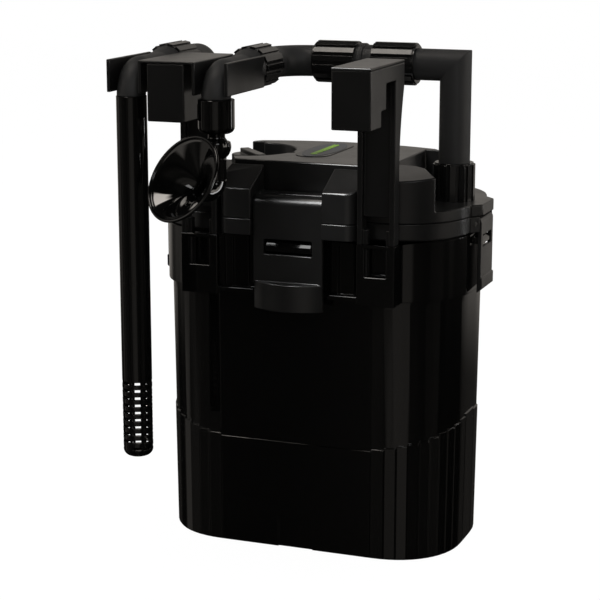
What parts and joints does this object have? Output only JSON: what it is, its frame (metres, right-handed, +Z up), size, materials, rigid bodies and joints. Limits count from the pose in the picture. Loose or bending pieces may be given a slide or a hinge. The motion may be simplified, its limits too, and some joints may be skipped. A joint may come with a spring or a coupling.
{
  "type": "canister filter",
  "caption": "Hanging aquarium canister filter with a latched pump head, glass-rim hooks, strainer intake and a swivelling trumpet outlet.",
  "frame": {"origin": "centre of the canister's flat underside, on the surface it can stand on", "axes": "+Z up, -Y towards the tank that the hooks hang on, +X to the right seen from the tank"},
  "size_m": [0.1864, 0.1891, 0.2769],
  "materials": {
    "gloss_black": "moulded high gloss",
    "satin_black": "moulded satin",
    "pipe_grey": "moulded matte",
    "nut_black": "moulded semi gloss",
    "rubber": "moulded",
    "pad_grey": "plain inlay",
    "steel": "turned",
    "epoxy": "cast",
    "ceramic": "fired",
    "pump_grey": "moulded",
    "magnet": "bonded ferrite",
    "sponge_blue": "open foam",
    "sponge_dark": "open foam",
    "floss_white": "fibre pad"
  },
  "bodies": {
    "filter": {"canister": "gloss_black", "collar": "gloss_black", "seal_ring": "rubber", "head_base": "satin_black", "head_cover": "satin_black", "label_pad": "pad_grey", "cover_screws": "steel", "cord_gland": "rubber", "front_pin": "steel", "clip_pins": "steel", "motor_block": "epoxy", "upper_bush": "rubber", "lower_bush": "rubber", "impeller_shaft": "ceramic", "impeller_cover": "pump_grey", "stem_seal": "rubber", "intake_head_nut": "nut_black", "intake_riser": "pipe_grey", "intake_run_nut": "nut_black", "intake_elbow": "pipe_grey", "intake_tube": "gloss_black", "strainer": "gloss_black", "outlet_head_nut": "nut_black", "outlet_riser": "pipe_grey", "union_nut_right": "nut_black", "union_body": "pipe_grey", "union_nut_left": "nut_black", "outlet_bend": "pipe_grey", "outlet_run_nut": "nut_black", "outlet_elbow": "pipe_grey", "pipe_seals": "rubber", "hanger_right": "satin_black", "hanger_left": "satin_black", "hanger_cap": "satin_black", "pipe_holder": "satin_black", "lower_basket": "pump_grey", "upper_basket": "pump_grey", "coarse_sponge": "sponge_blue", "ceramic_rings": "ceramic", "fine_sponge": "sponge_dark", "fine_floss": "floss_white", "drop_tube": "pump_grey"},
    "front_latch": {"front_latch": "satin_black"},
    "right_latch": {"right_latch": "satin_black"},
    "left_latch": {"left_latch": "satin_black"},
    "rear_latch": {"rear_latch": "satin_black"},
    "pump_rotor": {"impeller": "pump_grey", "magnet_rotor": "magnet"},
    "flow_lever": {"flow_lever": "satin_black", "lever_stem": "pump_grey", "flow_shutter": "pump_grey"},
    "swivel": {"swivel_sleeve": "gloss_black"},
    "nozzle": {"nozzle_socket": "gloss_black", "trumpet_nozzle": "gloss_black"}
  },
  "joints": [
    {"name": "front_latch_hinge", "type": "hinge", "parent": "filter", "child": "front_latch", "pos_m": [0, -0.0563, 0.1945], "axis": [-1, 0, 0], "range_deg": [0, 55]},
    {"name": "right_latch_hinge", "type": "hinge", "parent": "filter", "child": "right_latch", "pos_m": [0.0893, 0, 0.1828], "axis": [0, -1, 0], "range_deg": [0, 55]},
    {"name": "left_latch_hinge", "type": "hinge", "parent": "filter", "child": "left_latch", "pos_m": [-0.0893, 0, 0.1828], "axis": [0, 1, 0], "range_deg": [0, 55]},
    {"name": "rear_latch_hinge", "type": "hinge", "parent": "filter", "child": "rear_latch", "pos_m": [0, 0.0544, 0.1828], "axis": [1, 0, 0], "range_deg": [0, 55]},
    {"name": "rotor_spin", "type": "hinge", "parent": "filter", "child": "pump_rotor", "pos_m": [0.014, 0, 0.19], "axis": [0, 0, 1], "continuous": true},
    {"name": "flow_lever_turn", "type": "hinge", "parent": "filter", "child": "flow_lever", "pos_m": [-0.0467, -0.0023, 0.21], "axis": [0, 0, 1], "range_deg": [0, 90]},
    {"name": "outlet_swivel", "type": "hinge", "parent": "filter", "child": "swivel", "pos_m": [-0.0255, -0.095, 0.245], "axis": [0, 0, 1], "range_deg": [-55, 110]},
    {"name": "nozzle_tilt", "type": "hinge", "parent": "swivel", "child": "nozzle", "pos_m": [-0.0255, -0.095, 0.2292], "axis": [0.8988, -0.4384, 0], "range_deg": [0, 16]}
  ]
}
